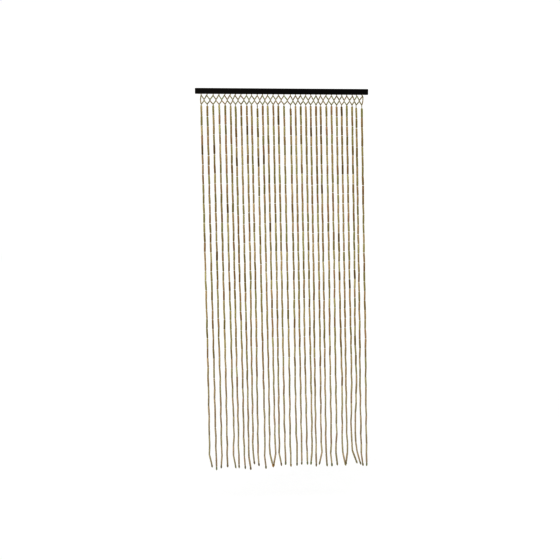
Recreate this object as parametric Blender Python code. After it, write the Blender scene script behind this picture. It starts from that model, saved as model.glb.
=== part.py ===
"""Bamboo door curtain: a black rail, a diamond net of thin cane below it, and 31 strands of bamboo tubes.

Metres, +Z up, +X to the right and -Y towards the viewer. The origin is the centre of the rail's back face.
"""

import math
from typing import NamedTuple

import bmesh
import bpy

# Rail, a painted wooden batten
RAIL_WIDTH = 0.900
RAIL_HEIGHT = 0.027
RAIL_DEPTH = 0.012
RAIL_EDGE = 0.0012
RAIL_UNDERSIDE = -RAIL_HEIGHT / 2

# String holes, drilled up into the rail's underside
HOLE_RADIUS = 0.0028
HOLE_DEPTH = 0.009
HOLE_SIDES = 8
END_GAP = 0.0006

# Net, measured down from the rail's underside
NET_Y = -RAIL_DEPTH / 2
APEX_DROP = 0.0095
CROSSING_DROP = 0.0320
ROOT_DROP = 0.0525
STRING_HALF = 0.0010
KNOT_HALF = 0.0024
CROSSING_HALF = 0.0025
CROSSING_RISE = 0.0050
CANE_HALF = 0.0021
CANE_DEPTH = 0.0036
EDGE_BOW = 0.0045

# Strands, measured down from the net's lowest knots
TUBE_COUNT = 37
FIRST_STRING = 0.012
SHOULDER = 0.0015
TAIL = 0.020
END_BEAD = 0.014
TUBE_HALF_TOP = 0.0046
TUBE_HALF_FOOT = 0.0040
END_BEAD_HALF = 0.0044
DRIFT = 0.0207  # sideways run of each metre of strand, as the rail was hung a little out of level
WOBBLE_TOP = 0.0004
WOBBLE_FOOT = 0.0016
SWAY = 0.0018

MILLIMETRE = 0.001
KINK_DROPS = (0.0, 0.90, 1.20, 1.45, 1.72, 1.84)  # the last kink, the foot, is at the strand's end


class Strand(NamedTuple):
    """One strand. All in millimetres: its root from the rail's middle, its length from root to end, its
    sideways offsets from a straight hang at five heights, and how far its foot hangs towards the viewer."""

    root: int
    length: int
    hip: int
    knee: int
    shin: int
    ankle: int
    foot: int
    fore: int


STRANDS = (
    Strand(root=-419, length=1915, hip=1, knee=0, shin=-1, ankle=-3, foot=9, fore=0),
    Strand(root=-388, length=1930, hip=1, knee=1, shin=1, ankle=1, foot=1, fore=1),
    Strand(root=-357, length=1920, hip=-1, knee=1, shin=0, ankle=0, foot=-3, fore=2),
    Strand(root=-326, length=1915, hip=0, knee=0, shin=-1, ankle=-2, foot=-2, fore=0),
    Strand(root=-295, length=1920, hip=2, knee=2, shin=6, ankle=-1, foot=10, fore=2),
    Strand(root=-267, length=1920, hip=0, knee=0, shin=1, ankle=-1, foot=2, fore=1),
    Strand(root=-241, length=1925, hip=3, knee=4, shin=3, ankle=3, foot=8, fore=0),
    Strand(root=-212, length=1930, hip=0, knee=0, shin=-1, ankle=-2, foot=6, fore=1),
    Strand(root=-183, length=1900, hip=-4, knee=-5, shin=-6, ankle=-9, foot=0, fore=2),
    Strand(root=-158, length=1910, hip=-1, knee=-4, shin=-5, ankle=-7, foot=-1, fore=0),
    Strand(root=-128, length=1925, hip=0, knee=1, shin=2, ankle=-1, foot=3, fore=1),
    Strand(root=-100, length=1915, hip=0, knee=1, shin=-1, ankle=-2, foot=15, fore=7),
    Strand(root=-74, length=1915, hip=1, knee=1, shin=1, ankle=3, foot=-8, fore=-2),
    Strand(root=-45, length=1910, hip=-2, knee=-3, shin=-5, ankle=-6, foot=4, fore=0),
    Strand(root=-19, length=1905, hip=-1, knee=-1, shin=-2, ankle=0, foot=-1, fore=2),
    Strand(root=11, length=1915, hip=0, knee=0, shin=-3, ankle=-3, foot=0, fore=0),
    Strand(root=45, length=1910, hip=-2, knee=-4, shin=-4, ankle=-1, foot=-3, fore=1),
    Strand(root=71, length=1905, hip=-2, knee=-2, shin=-3, ankle=-2, foot=-6, fore=1),
    Strand(root=98, length=1905, hip=-3, knee=-2, shin=-1, ankle=-2, foot=1, fore=0),
    Strand(root=125, length=1905, hip=-1, knee=0, shin=0, ankle=-2, foot=-8, fore=2),
    Strand(root=150, length=1915, hip=-3, knee=-4, shin=-5, ankle=-4, foot=-7, fore=1),
    Strand(root=178, length=1905, hip=-1, knee=-2, shin=-5, ankle=-2, foot=-18, fore=1),
    Strand(root=202, length=1915, hip=-1, knee=-2, shin=-3, ankle=-4, foot=3, fore=0),
    Strand(root=232, length=1915, hip=-3, knee=-4, shin=-4, ankle=-8, foot=-4, fore=2),
    Strand(root=259, length=1910, hip=-2, knee=-2, shin=-2, ankle=-8, foot=-2, fore=1),
    Strand(root=286, length=1910, hip=1, knee=5, shin=0, ankle=0, foot=18, fore=8),
    Strand(root=312, length=1910, hip=0, knee=-1, shin=-1, ankle=2, foot=-10, fore=-2),
    Strand(root=339, length=1900, hip=2, knee=3, shin=-5, ankle=2, foot=24, fore=1),
    Strand(root=367, length=1905, hip=-4, knee=1, shin=-12, ankle=-4, foot=18, fore=7),
    Strand(root=389, length=1915, hip=0, knee=-3, shin=-2, ankle=-2, foot=8, fore=-2),
    Strand(root=418, length=1915, hip=1, knee=-1, shin=-3, ankle=-2, foot=-5, fore=0),
)


def clear_scene():
    """Leaves the file with no objects."""
    for thing in list(bpy.data.objects):
        bpy.data.objects.remove(thing)


def finish(name, rgb, roughness):
    """A Principled material in one colour."""
    material = bpy.data.materials.new(name)
    material.use_nodes = True
    shader = material.node_tree.nodes["Principled BSDF"]
    shader.inputs["Base Color"].default_value = (*rgb, 1.0)
    shader.inputs["Roughness"].default_value = roughness
    return material


def blend(low, high, share):
    """The value that share of the way from low to high."""
    return low + (high - low) * share


def offset_at(drop, length, offsets):
    """The offset at a drop, on straight runs between a strand's named kinks, in metres."""
    drops = (*KINK_DROPS, length)
    for low, high, before, after in zip(drops, drops[1:], offsets, offsets[1:]):
        if drop <= high:
            return MILLIMETRE * blend(before, after, (drop - low) / (high - low))
    return MILLIMETRE * offsets[-1]


def strand_point(row, strand, joint, drop):
    """Where a strand's string runs at a drop below its root."""
    length = strand.length * MILLIMETRE
    share = drop / length
    kinks = (0, 0, strand.hip, strand.knee, strand.shin, strand.ankle, strand.foot)
    wobble = blend(WOBBLE_TOP, WOBBLE_FOOT, share) * math.sin(2.4 * joint + 1.9 * row)
    sway = SWAY * share * math.sin(0.7 * joint + 2.1 * row)
    fore = strand.fore * MILLIMETRE * max(0.0, share - 0.8) / 0.2
    return (
        strand.root * MILLIMETRE + DRIFT * drop + offset_at(drop, length, kinks) + wobble,
        NET_Y + sway * (1.0 - max(0.0, share - 0.8) / 0.2) - fore,
        RAIL_UNDERSIDE - ROOT_DROP - drop,
    )


class CaneMesh:
    """A mesh of four-sided rods that meet at small blocks, with every corner in a front and a back pair."""

    def __init__(self):
        self.mesh = bmesh.new()

    def pair(self, x, y, z, depth):
        """Two corners, one in front of the other, that far apart."""
        front = self.mesh.verts.new((x, y - depth / 2, z))
        back = self.mesh.verts.new((x, y + depth / 2, z))
        return front, back

    def rod(self, start, finish):
        """Four sides between two rings, each given as its left and right corner pairs."""
        corners = [(ring[0][0], ring[1][0], ring[1][1], ring[0][1]) for ring in (start, finish)]
        for side in range(4):
            after = (side + 1) % 4
            self.mesh.faces.new((corners[0][side], corners[0][after], corners[1][after], corners[1][side]))

    def cap(self, pairs):
        """A front face and a back face over corner pairs that go round a block, or one end of a rod."""
        self.mesh.faces.new([pair[0] for pair in pairs])
        self.mesh.faces.new([pair[1] for pair in reversed(pairs)])

    def end(self, ring):
        """The flat end of a rod."""
        self.mesh.faces.new((ring[0][0], ring[1][0], ring[1][1], ring[0][1]))

    def build(self, name, material):
        """The finished object."""
        bmesh.ops.recalc_face_normals(self.mesh, faces=self.mesh.faces)
        mesh = bpy.data.meshes.new(name)
        self.mesh.to_mesh(mesh)
        self.mesh.free()
        mesh.materials.append(material)
        thing = bpy.data.objects.new(name, mesh)
        bpy.context.scene.collection.objects.link(thing)
        return thing


def ring_at(cane, place, half_width):
    """A level ring of a rod, as its left and right corner pairs."""
    x, y, z = place
    left = cane.pair(x - half_width, y, z, 2 * half_width)
    right = cane.pair(x + half_width, y, z, 2 * half_width)
    return left, right


def strand_rings(strand):
    """Each ring of a strand from its root down: the joint that it belongs to, its drop and its half width."""
    length = strand.length * MILLIMETRE
    pitch = (length - FIRST_STRING - TAIL) / TUBE_COUNT
    rings = [(0, FIRST_STRING - SHOULDER, STRING_HALF)]
    for joint in range(TUBE_COUNT + 1):
        drop = FIRST_STRING + joint * pitch
        rings.append((joint, drop, blend(TUBE_HALF_TOP, TUBE_HALF_FOOT, drop / length)))
    rings.append((TUBE_COUNT, length - END_BEAD, END_BEAD_HALF))
    rings.append((TUBE_COUNT, length, END_BEAD_HALF))
    return rings


def add_strand(cane, row, strand, root):
    """Hangs one strand of tubes, with its end bead, from the lower corners of its root knot."""
    last = root
    for joint, drop, half_width in strand_rings(strand):
        ring = ring_at(cane, strand_point(row, strand, joint, drop), half_width)
        cane.rod(last, ring)
        last = ring
    cane.end(last)


def apex_block(cane, x, z, upwards):
    """A knot's three corner pairs: left, right, and the one between its two canes."""
    inner = z - upwards * KNOT_HALF
    outer = z + upwards * KNOT_HALF
    left = cane.pair(x - KNOT_HALF, NET_Y, outer, CANE_DEPTH)
    right = cane.pair(x + KNOT_HALF, NET_Y, outer, CANE_DEPTH)
    return left, right, cane.pair(x, NET_Y, inner, CANE_DEPTH)


def add_bow(cane, upper, lower, x, outwards):
    """The bowed edge cane between the outer ends of two knots, each given as its outer and inner corner pairs."""
    last = upper
    for share in (0.3, 0.7):
        z = RAIL_UNDERSIDE - blend(APEX_DROP, ROOT_DROP, share)
        near = cane.pair(x + outwards * (EDGE_BOW - CANE_HALF), NET_Y, z, CANE_DEPTH)
        far = cane.pair(x + outwards * (EDGE_BOW + CANE_HALF), NET_Y, z, CANE_DEPTH)
        cane.rod(last, (far, near))
        last = (far, near)
    cane.rod(last, lower)


def add_net(cane):
    """The diamonds of cane between the rail's holes and the strands' roots. Returns the roots' lower rings."""
    places = [strand.root * MILLIMETRE for strand in STRANDS]
    stub_top = RAIL_UNDERSIDE + HOLE_DEPTH - END_GAP
    apexes = [apex_block(cane, x, RAIL_UNDERSIDE - APEX_DROP, 1) for x in places]
    roots = [apex_block(cane, x, RAIL_UNDERSIDE - ROOT_DROP, -1) for x in places]
    for x, (left, right, inner) in zip(places, apexes):
        stub = ring_at(cane, (x, NET_Y, stub_top), STRING_HALF)
        cane.rod((left, right), stub)
        cane.end(stub)
    for block in apexes[1:-1] + roots[1:-1]:
        cane.cap(block)
    crossing_z = RAIL_UNDERSIDE - CROSSING_DROP
    for index in range(len(places) - 1):
        middle = (places[index] + places[index + 1]) / 2
        top = cane.pair(middle, NET_Y, crossing_z + CROSSING_RISE, CANE_DEPTH)
        right = cane.pair(middle + CROSSING_HALF, NET_Y, crossing_z, CANE_DEPTH)
        bottom = cane.pair(middle, NET_Y, crossing_z - CROSSING_RISE, CANE_DEPTH)
        left = cane.pair(middle - CROSSING_HALF, NET_Y, crossing_z, CANE_DEPTH)
        cane.cap((top, right, bottom, left))
        cane.rod((apexes[index][2], apexes[index][1]), (left, top))
        cane.rod((apexes[index + 1][0], apexes[index + 1][2]), (top, right))
        cane.rod((roots[index][2], roots[index][1]), (left, bottom))
        cane.rod((roots[index + 1][0], roots[index + 1][2]), (bottom, right))
    for end, outwards in ((0, -1), (-1, 1)):
        outer = 0 if outwards < 0 else 1
        upper = (apexes[end][outer], apexes[end][2])
        lower = (roots[end][outer], roots[end][2])
        cane.cap(apexes[end])
        cane.cap(roots[end])
        add_bow(cane, upper, lower, places[end], outwards)
    return [(block[0], block[1]) for block in roots]


def build_strands(material):
    """The net with all its strands, one solid."""
    cane = CaneMesh()
    roots = add_net(cane)
    for row, (strand, root) in enumerate(zip(STRANDS, roots)):
        add_strand(cane, row, strand, root)
    return cane.build("net_and_strands", material)


def hole_cutter():
    """Every string hole's drill, in one object that the build leaves out."""
    work = bmesh.new()
    for strand in STRANDS:
        made = bmesh.ops.create_cone(
            work,
            cap_ends=True,
            segments=HOLE_SIDES,
            radius1=HOLE_RADIUS,
            radius2=HOLE_RADIUS,
            depth=2 * HOLE_DEPTH,
        )
        place = (strand.root * MILLIMETRE, NET_Y, RAIL_UNDERSIDE)
        bmesh.ops.translate(work, verts=made["verts"], vec=place)
    mesh = bpy.data.meshes.new("hole_cutter")
    work.to_mesh(mesh)
    work.free()
    cutter = bpy.data.objects.new("hole_cutter", mesh)
    bpy.context.scene.collection.objects.link(cutter)
    cutter.hide_render = True
    cutter.display_type = "WIRE"
    return cutter


def build_rail(material):
    """The rail, with its edges eased and its string holes drilled."""
    bpy.ops.mesh.primitive_cube_add(size=1.0)
    rail = bpy.context.object
    rail.name = "rail"
    for vertex in rail.data.vertices:
        x, y, z = vertex.co
        vertex.co = (x * RAIL_WIDTH, (y - 0.5) * RAIL_DEPTH, z * RAIL_HEIGHT)
    rail.data.materials.append(material)
    ease = rail.modifiers.new("Eased edges", "BEVEL")
    ease.width = RAIL_EDGE
    ease.segments = 2
    drill = rail.modifiers.new("String holes", "BOOLEAN")
    drill.operation = "DIFFERENCE"
    drill.object = hole_cutter()
    return rail


def main():
    """Builds the curtain."""
    clear_scene()
    build_rail(finish("Black paint", (0.015, 0.014, 0.014), 0.45))
    build_strands(finish("Bamboo", (0.30, 0.20, 0.09), 0.55))


main()
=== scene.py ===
"""The looks of a bamboo door curtain: a black rail, a net of thin cane and 31 strands of bamboo tubes.

Metres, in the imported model's frame: +X to the right, -Y towards the viewer, +Z up, and the origin at the
centre of the rail's back face. The rail keeps its CAD solid. The net and strands' solid is replaced by the
tubes, beads and strings that it stands for.
"""

from __future__ import annotations

import logging
import math
import random
from dataclasses import dataclass
from enum import Enum
from typing import Any, Iterable, NamedTuple, Sequence

import bmesh
import bpy
from mathutils import Euler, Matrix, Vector

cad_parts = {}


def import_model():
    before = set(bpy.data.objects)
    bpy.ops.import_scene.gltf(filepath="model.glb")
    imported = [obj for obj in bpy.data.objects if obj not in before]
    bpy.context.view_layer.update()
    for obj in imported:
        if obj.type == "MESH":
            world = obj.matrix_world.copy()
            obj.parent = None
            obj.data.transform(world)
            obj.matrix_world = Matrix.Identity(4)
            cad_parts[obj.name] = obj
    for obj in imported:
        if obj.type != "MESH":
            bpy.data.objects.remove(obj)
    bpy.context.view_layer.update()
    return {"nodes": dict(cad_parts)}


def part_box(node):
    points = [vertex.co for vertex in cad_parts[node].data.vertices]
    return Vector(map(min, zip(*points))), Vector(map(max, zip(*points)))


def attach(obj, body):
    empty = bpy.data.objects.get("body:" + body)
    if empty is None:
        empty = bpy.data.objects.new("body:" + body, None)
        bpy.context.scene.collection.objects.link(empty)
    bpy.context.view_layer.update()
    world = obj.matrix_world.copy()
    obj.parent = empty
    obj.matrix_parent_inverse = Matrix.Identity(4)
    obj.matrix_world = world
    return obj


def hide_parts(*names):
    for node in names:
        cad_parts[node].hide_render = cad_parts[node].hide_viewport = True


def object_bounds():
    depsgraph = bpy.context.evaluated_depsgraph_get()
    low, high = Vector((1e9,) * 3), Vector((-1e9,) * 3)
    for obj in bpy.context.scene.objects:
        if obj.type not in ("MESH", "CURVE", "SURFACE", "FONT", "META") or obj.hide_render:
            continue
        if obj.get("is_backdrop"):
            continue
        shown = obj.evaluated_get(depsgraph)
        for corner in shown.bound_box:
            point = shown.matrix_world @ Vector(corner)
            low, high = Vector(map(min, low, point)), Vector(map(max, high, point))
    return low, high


LOG = logging.getLogger("bamboo_curtain")
MILLIMETRE = 0.001
BODY = "root"
ROOT_DROP = 0.0525  # from the rail's underside to the point that a strand's drops are measured from

Colour = tuple[float, float, float]
Triple = tuple[float, float, float]
Range = tuple[float, float]

WHITE = (1.0, 1.0, 1.0, 1.0)


# Shader and geometry node trees


class Signal:
    """A node's output socket, on which Python's operators add Math nodes."""

    def __init__(self, tree: Tree, socket: Any) -> None:
        """Wraps a socket.

        Args:
            tree: The tree that new nodes go into.
            socket: The output socket.
        """
        self.tree = tree
        self.socket = socket

    def _math(self, operation: str, *values: Any) -> Signal:
        """Adds a Math node.

        Args:
            operation: The node's operation.
            values: Its inputs, in order.

        Returns:
            The node's result.
        """
        return self.tree.add("ShaderNodeMath", {"operation": operation}, dict(enumerate(values)))

    def __add__(self, other: Any) -> Signal:
        """Adds."""
        return self._math("ADD", self, other)

    def __sub__(self, other: Any) -> Signal:
        """Subtracts."""
        return self._math("SUBTRACT", self, other)

    def __rsub__(self, other: Any) -> Signal:
        """Subtracts this from a number."""
        return self._math("SUBTRACT", other, self)

    def __mul__(self, other: Any) -> Signal:
        """Multiplies."""
        return self._math("MULTIPLY", self, other)

    __radd__ = __add__
    __rmul__ = __mul__

    def sine(self) -> Signal:
        """The sine of the angle in radians."""
        return self._math("SINE", self)

    def size(self) -> Signal:
        """The value without its sign."""
        return self._math("ABSOLUTE", self)

    def step(self, low: float, high: float) -> Signal:
        """Runs smoothly from 0 to 1 between two values.

        Args:
            low: The value at which the result leaves 0.
            high: The value at which it reaches 1.

        Returns:
            The smooth step.
        """
        settings = {"interpolation_type": "SMOOTHSTEP"}
        return self.tree.add("ShaderNodeMapRange", settings, {0: self, 1: low, 2: high, 3: 0.0, 4: 1.0})


class Tree:
    """A node tree of either kind, with one method that adds any node."""

    def __init__(self, tree: bpy.types.NodeTree) -> None:
        """Wraps a node tree.

        Args:
            tree: Blender's own tree.
        """
        self.tree = tree

    def add(self, kind: str, settings: dict[str, Any] | None = None, inputs: dict[Any, Any] | None = None,
            output: int | str = 0) -> Signal:
        """Adds a node, sets it up and links its inputs.

        Args:
            kind: The node's type.
            settings: Its own settings, by attribute name. "stops" fills a colour ramp.
            inputs: Values or signals, by socket name or number.
            output: Which output to return.

        Returns:
            That output.
        """
        node = self.tree.nodes.new(kind)
        for name, value in (settings or {}).items():
            if name == "stops":
                self._fill_ramp(node.color_ramp, value)
            else:
                setattr(node, name, value)
        for name, value in (inputs or {}).items():
            self.link(node.inputs[name], value)
        return Signal(self, node.outputs[output])

    def link(self, socket: bpy.types.NodeSocket, value: Any) -> None:
        """Feeds an input socket.

        Args:
            socket: The input.
            value: A signal to link, or a value to set.
        """
        if isinstance(value, Signal):
            self.tree.links.new(value.socket, socket)
        else:
            socket.default_value = value

    @staticmethod
    def _fill_ramp(ramp: bpy.types.ColorRamp, stops: Sequence[tuple[float, Colour]]) -> None:
        """Sets a colour ramp's stops.

        Args:
            ramp: The ramp.
            stops: Each stop's place and colour, from low to high.
        """
        while len(ramp.elements) < len(stops):
            ramp.elements.new(1.0)
        for element, (place, colour) in zip(ramp.elements, stops):
            element.position = place
            element.color = (*colour, 1.0)


class ShaderTree(Tree):
    """A material's node tree, with the few combinations that the finishes share."""

    def __init__(self, name: str) -> None:
        """Makes an empty material.

        Args:
            name: The material's name.
        """
        self.material = bpy.data.materials.new(name)
        self.material.use_nodes = True
        self.material.node_tree.nodes.clear()
        super().__init__(self.material.node_tree)

    def attribute(self, name: str, output: str = "Fac") -> Signal:
        """What the mesh stores under a name: a number, or a vector where the output is Vector."""
        return self.add("ShaderNodeAttribute", {"attribute_name": name}, output=output)

    def place(self) -> Signal:
        """The position in the object's own coordinates."""
        return self.add("ShaderNodeTexCoord", output="Object")

    def stretch(self, place: Signal, scale: Any, shift: Any = (0.0, 0.0, 0.0)) -> Signal:
        """Stretches a texture position.

        Args:
            place: The position.
            scale: How much to stretch it along each axis.
            shift: What to add to it, such as a vector that differs from tube to tube.

        Returns:
            The new position.
        """
        inputs = {0: place, 1: scale, 2: shift}
        return self.add("ShaderNodeVectorMath", {"operation": "MULTIPLY_ADD"}, inputs)

    def part(self, vector: Signal, axis: int) -> Signal:
        """One of a vector's three numbers."""
        return self.add("ShaderNodeSeparateXYZ", {}, {0: vector}, output=axis)

    def noise(self, place: Signal, scale: float = 1.0, detail: float = 2.0) -> Signal:
        """Noise around one half."""
        return self.add("ShaderNodeTexNoise", {}, {"Vector": place, "Scale": scale, "Detail": detail})

    def mix(self, share: Any, low: Any, high: Any, blend: str = "MIX") -> Signal:
        """Mixes two colours.

        Args:
            share: How much of the second one shows.
            low: The first colour.
            high: The second colour.
            blend: Blender's blend mode.

        Returns:
            The mixed colour.
        """
        settings = {"data_type": "RGBA", "blend_type": blend}
        return self.add("ShaderNodeMix", settings, {0: share, 6: low, 7: high}, output=2)

    def principled(self, colour: Any, roughness: Any, height: Signal | None = None, relief: float = 0.0,
                   **constants: Any) -> bpy.types.Material:
        """Ends the tree in a Principled BSDF.

        Args:
            colour: The base colour.
            roughness: The roughness.
            height: What the bump follows, from 0 to 1.
            relief: The bump's height in metres.
            constants: Other sockets' fixed values, with underscores for spaces.

        Returns:
            The finished material.
        """
        inputs: dict[str, Any] = {"Base Color": colour, "Roughness": roughness}
        if height is not None:
            inputs["Normal"] = self.add("ShaderNodeBump", {}, {"Height": height, "Distance": relief})
        for name, value in constants.items():
            inputs[name.replace("_", " ")] = value
        shader = self.add("ShaderNodeBsdfPrincipled", {}, inputs)
        self.add_output(shader)
        return self.material

    def add_output(self, shader: Signal) -> None:
        """Links a shader to the material's output."""
        node = self.tree.nodes.new("ShaderNodeOutputMaterial")
        self.link(node.inputs["Surface"], shader)


class GeometryTree(Tree):
    """A geometry node group with named inputs."""

    def __init__(self, name: str) -> None:
        """Makes a group with a geometry input and output.

        Args:
            name: The group's name.
        """
        super().__init__(bpy.data.node_groups.new(name, "GeometryNodeTree"))
        self.tree.interface.new_socket("Geometry", in_out="INPUT", socket_type="NodeSocketGeometry")
        self.tree.interface.new_socket("Geometry", in_out="OUTPUT", socket_type="NodeSocketGeometry")
        self.group_input = self.tree.nodes.new("NodeGroupInput")

    def named_input(self, name: str, kind: str) -> Signal:
        """Adds a named input to the group.

        Args:
            name: The input's name.
            kind: What it holds: Float, Int, Object or Material.

        Returns:
            The input's value inside the group.
        """
        self.tree.interface.new_socket(name, in_out="INPUT", socket_type=f"NodeSocket{kind}")
        return Signal(self, self.group_input.outputs[name])

    def geometry(self) -> Signal:
        """The geometry that comes in."""
        return Signal(self, self.group_input.outputs["Geometry"])

    def stored(self, name: str, kind: str) -> Signal:
        """An attribute of the geometry.

        Args:
            name: The attribute's name.
            kind: FLOAT or FLOAT_VECTOR.

        Returns:
            The attribute.
        """
        return self.add("GeometryNodeInputNamedAttribute", {"data_type": kind}, {"Name": name})

    def store(self, geometry: Signal, name: str, value: Signal, kind: str, domain: str = "POINT") -> Signal:
        """Marks geometry with an attribute.

        Args:
            geometry: The geometry.
            name: The attribute's name.
            value: What it holds.
            kind: FLOAT or FLOAT_VECTOR.
            domain: What carries it, such as POINT or INSTANCE.

        Returns:
            The marked geometry.
        """
        settings = {"data_type": kind, "domain": domain}
        inputs = {"Geometry": geometry, "Name": name, "Value": value}
        return self.add("GeometryNodeStoreNamedAttribute", settings, inputs)

    def random(self, low: float, high: float, seed: Any, extra: int) -> Signal:
        """A random number for each point.

        Args:
            low: The smallest.
            high: The largest.
            seed: The group's seed.
            extra: What sets this number apart from others with the same seed.

        Returns:
            The number.
        """
        inputs = {2: low, 3: high, 8: seed * 10.0 + float(extra)}
        return self.add("FunctionNodeRandomValue", {"data_type": "FLOAT"}, inputs, output=1)

    def end(self, geometry: Signal, material: Signal) -> None:
        """Ends the group in Realize Instances and Set Material.

        Args:
            geometry: What the group made.
            material: The finish that it takes.
        """
        real = self.add("GeometryNodeRealizeInstances", {}, {"Geometry": geometry})
        dressed = self.add("GeometryNodeSetMaterial", {}, {"Geometry": real, "Material": material})
        output = self.tree.nodes.new("NodeGroupOutput")
        self.link(output.inputs["Geometry"], dressed)


# Finishes


@dataclass(frozen=True)
class BlackPaint:
    """Satin black paint on a planed wooden batten."""

    colour: Colour = (0.0088, 0.0075, 0.0070)
    # the colour of the wear, which is also the colour that the painted sheen lightens the paint towards
    worn_and_sheen: Colour = (0.045, 0.036, 0.030)
    grain_length: float = 0.060
    grain_width: float = 0.0012
    grain_detail: float = 3.0
    patches_per_metre: Triple = (9.0, 60.0, 60.0)
    patch_detail: float = 4.0
    worn_patches: Range = (0.62, 0.80)
    worn_grain: Range = (0.45, 0.62)
    wear: float = 0.5
    # the painted sheen, lighter at the rail's left end: where it fades out, and how strong it is, evenly
    # and in patches
    sheen_end: float = 0.45
    sheen_run: Range = (0.10, 0.90)
    even_sheen: float = 0.06
    patchy_sheen: float = 0.50
    roughness: float = 0.42
    grain_roughness: float = 0.16
    patch_roughness: float = 0.10
    gloss: float = 0.12
    relief: float = 0.00012

    def material(self) -> bpy.types.Material:
        """The paint, with the wood's grain under it, some wear, and a patchy painted sheen that fades out
        to the right.
        """
        tree = ShaderTree("Black paint")
        place = tree.place()
        along, across = 1 / self.grain_length, 1 / self.grain_width
        grain = tree.noise(tree.stretch(place, (along, across, across)), detail=self.grain_detail)
        patch = tree.noise(tree.stretch(place, self.patches_per_metre), detail=self.patch_detail)
        wear = patch.step(*self.worn_patches) * grain.step(*self.worn_grain)
        # painted sheen: the paint is lighter towards the left and fades out to the right, partly in patches
        painted_sheen = (self.sheen_end - tree.part(place, 0)).step(*self.sheen_run)
        paling = painted_sheen * (self.even_sheen + self.patchy_sheen * patch)
        colour = tree.mix(wear * self.wear + paling, (*self.colour, 1.0), (*self.worn_and_sheen, 1.0))
        roughness = self.roughness + self.grain_roughness * grain + self.patch_roughness * patch
        return tree.principled(colour, roughness, grain, self.relief, Specular_IOR_Level=self.gloss)


@dataclass(frozen=True)
class CaneSkin:
    """The natural skin of bamboo, which differs from tube to tube.

    Each tube's tone picks its place on the shades, and its hue turns it towards olive, below 0, or russet.
    Its speck, from 0 to 1, says how dark its ends are, and whether and where a ring is worn into it.
    Fibres and blotches are counted across the tube's radius and along its length.
    """

    name: str
    shades: tuple[tuple[float, Colour], ...]
    cut: Colour
    cut_fibre: Colour = (0.30, 0.22, 0.13)
    redder: Colour = (0.080, -0.048, 0.045)
    # the lowest tubes turn paler and greyer: towards which colour, how far, and between which drops below
    # the rail
    foot_pale: Colour = (0.430, 0.385, 0.320)
    paling: float = 0.0
    paling_drops: Range = (1.15, 1.80)
    stain: Colour = (0.55, 0.50, 0.44)
    bleach: Colour = (1.16, 1.14, 1.10)
    tube_shift: Triple = (37.0, 53.0, 11.0)
    fibres: Triple = (11.0, 11.0, 1.6)
    blotches: Triple = (0.9, 0.9, 2.2)
    detail: float = 3.0
    blotch_tone: float = 0.16
    fibre_edge: Range = (0.30, 0.72)
    stain_edge: Range = (0.58, 0.80)
    stain_share: float = 0.45
    # each tube is darker towards both its ends: where that starts, and how much
    darker_end: Range = (0.46, 0.50)
    darker_end_share: Range = (0.15, 0.30)
    ring_place: Range = (0.22, 0.44)
    ring_edge: Range = (0.004, 0.014)
    ring_speck: Range = (0.62, 0.66)
    ring_share: float = 0.6
    cut_edge: Range = (0.45, 0.60)
    roughness: float = 0.44
    fibre_roughness: float = 0.22
    blotch_roughness: float = 0.16
    fibre_height: float = 0.7
    ring_depth: float = 0.5
    gloss: float = 0.35
    relief: float = 0.00010

    def material(self) -> bpy.types.Material:
        """The skin, its fibres, stains, worn rings and darker ends, and the pale cut wood of the rims."""
        tree = ShaderTree(self.name)
        speck = tree.attribute("speck")
        along = tree.part(tree.attribute("skin", "Vector"), 2)
        fibre, blotch = self._fibre_and_blotch(tree, speck)
        plain = self._shade(tree, blotch)
        dark = tree.mix(1.0, plain, (*self.stain, 1.0), "MULTIPLY")
        light = tree.mix(1.0, plain, (*self.bleach, 1.0), "MULTIPLY")
        streaked = tree.mix(fibre.step(*self.fibre_edge), light, plain)
        stained = tree.mix(blotch.step(*self.stain_edge) * self.stain_share, streaked, dark)
        least, more = self.darker_end_share
        ends = along.size().step(*self.darker_end) * (least + more * speck)
        middle, reach = self.ring_place
        beside_ring = (along + middle - reach * speck).size().step(*self.ring_edge)
        ringed = (1.0 - beside_ring) * speck.step(*self.ring_speck)
        skin = tree.mix(ends + ringed * self.ring_share, stained, dark)
        cut = tree.mix(fibre.step(*self.cut_edge), (*self.cut, 1.0), (*self.cut_fibre, 1.0))
        colour = tree.mix(tree.attribute("cut"), skin, cut)
        roughness = self.roughness + self.fibre_roughness * fibre + self.blotch_roughness * blotch
        height = fibre * self.fibre_height + blotch * (1.0 - self.fibre_height) - ringed * self.ring_depth
        return tree.principled(colour, roughness, height, self.relief, Specular_IOR_Level=self.gloss)

    def _fibre_and_blotch(self, tree: ShaderTree, speck: Signal) -> tuple[Signal, Signal]:
        """The fine and the coarse noise, which each tube takes from a place of its own.

        Args:
            tree: The material's tree.
            speck: The tube's speck.

        Returns:
            The two noises.
        """
        tone = tree.attribute("tone")
        on_tube = tree.attribute("skin", "Vector")
        first, second, third = self.tube_shift
        moves = {0: tone * first, 1: speck * second, 2: tone * third}
        shift = tree.add("ShaderNodeCombineXYZ", {}, moves)
        fibre = tree.noise(tree.stretch(on_tube, self.fibres, shift), detail=self.detail)
        return fibre, tree.noise(tree.stretch(on_tube, self.blotches, shift), detail=self.detail)

    def _shade(self, tree: ShaderTree, blotch: Signal) -> Signal:
        """The tube's own colour, which is paler and greyer on the lowest tubes.

        Args:
            tree: The material's tree.
            blotch: The coarse noise.

        Returns:
            The colour.
        """
        tone = tree.attribute("tone") + (blotch - 0.5) * self.blotch_tone
        shade = tree.add("ShaderNodeValToRGB", {"stops": self.shades}, {0: tone})
        hue = tree.attribute("hue")
        turned = tree.add("ShaderNodeVectorMath", {"operation": "SCALE"}, {0: self.redder, 3: hue})
        # paler and greyer towards the foot
        low = (0.0 - tree.part(tree.place(), 2)).step(*self.paling_drops)
        return tree.mix(low * self.paling, tree.stretch(shade, turned, shade), (*self.foot_pale, 1.0))


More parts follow.
